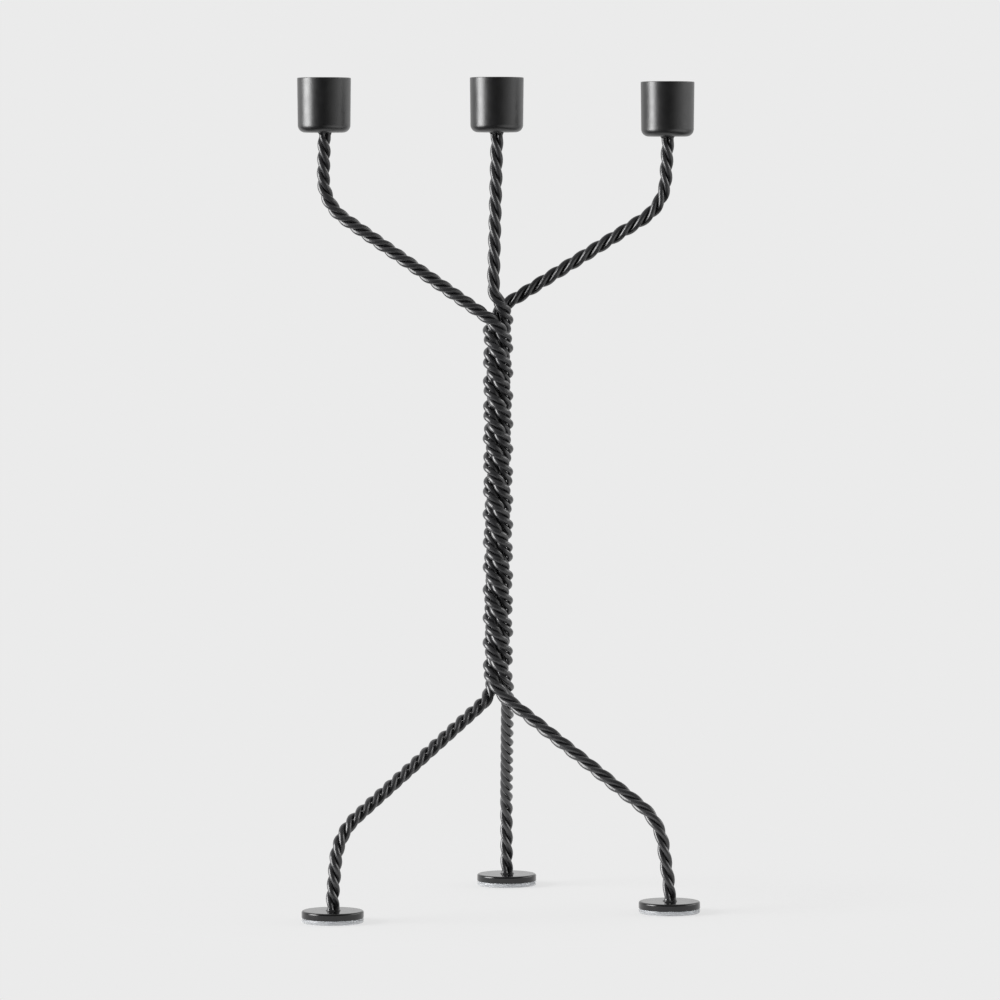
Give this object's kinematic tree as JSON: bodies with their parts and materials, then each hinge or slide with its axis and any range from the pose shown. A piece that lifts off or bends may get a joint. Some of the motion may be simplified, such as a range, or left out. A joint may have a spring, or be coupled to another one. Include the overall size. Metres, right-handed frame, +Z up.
{
  "type": "candle holder",
  "caption": "Tall candle holder of twisted black steel wire ropes that part into bent arms with round candle cups and splayed legs on padded foot discs.",
  "frame": {"origin": "the point of the floor under the middle line of the trunk", "axes": "+Z up along the trunk, +X from the left arm to the right arm, +Y to the back leg"},
  "size_m": [0.1935, 0.1773, 0.4],
  "materials": {
    "black_steel": "satin black powder coat on steel",
    "clear_silicone": "soft translucent silicone"
  },
  "bodies": {
    "root": {"candle_cup_left": "black_steel", "cup_weld_left": "black_steel", "candle_cup_center": "black_steel", "cup_weld_center": "black_steel", "candle_cup_right": "black_steel", "cup_weld_right": "black_steel", "foot_disc_left": "black_steel", "foot_pad_left": "clear_silicone", "foot_weld_left": "black_steel", "foot_disc_right": "black_steel", "foot_pad_right": "clear_silicone", "foot_weld_right": "black_steel", "foot_disc_back": "black_steel", "foot_pad_back": "clear_silicone", "foot_weld_back": "black_steel", "left_rope_wire_a": "black_steel", "left_rope_wire_b": "black_steel", "left_rope_wire_c": "black_steel", "center_rope_wire_a": "black_steel", "center_rope_wire_b": "black_steel", "center_rope_wire_c": "black_steel", "right_rope_wire_a": "black_steel", "right_rope_wire_b": "black_steel", "right_rope_wire_c": "black_steel"}
  },
  "joints": []
}
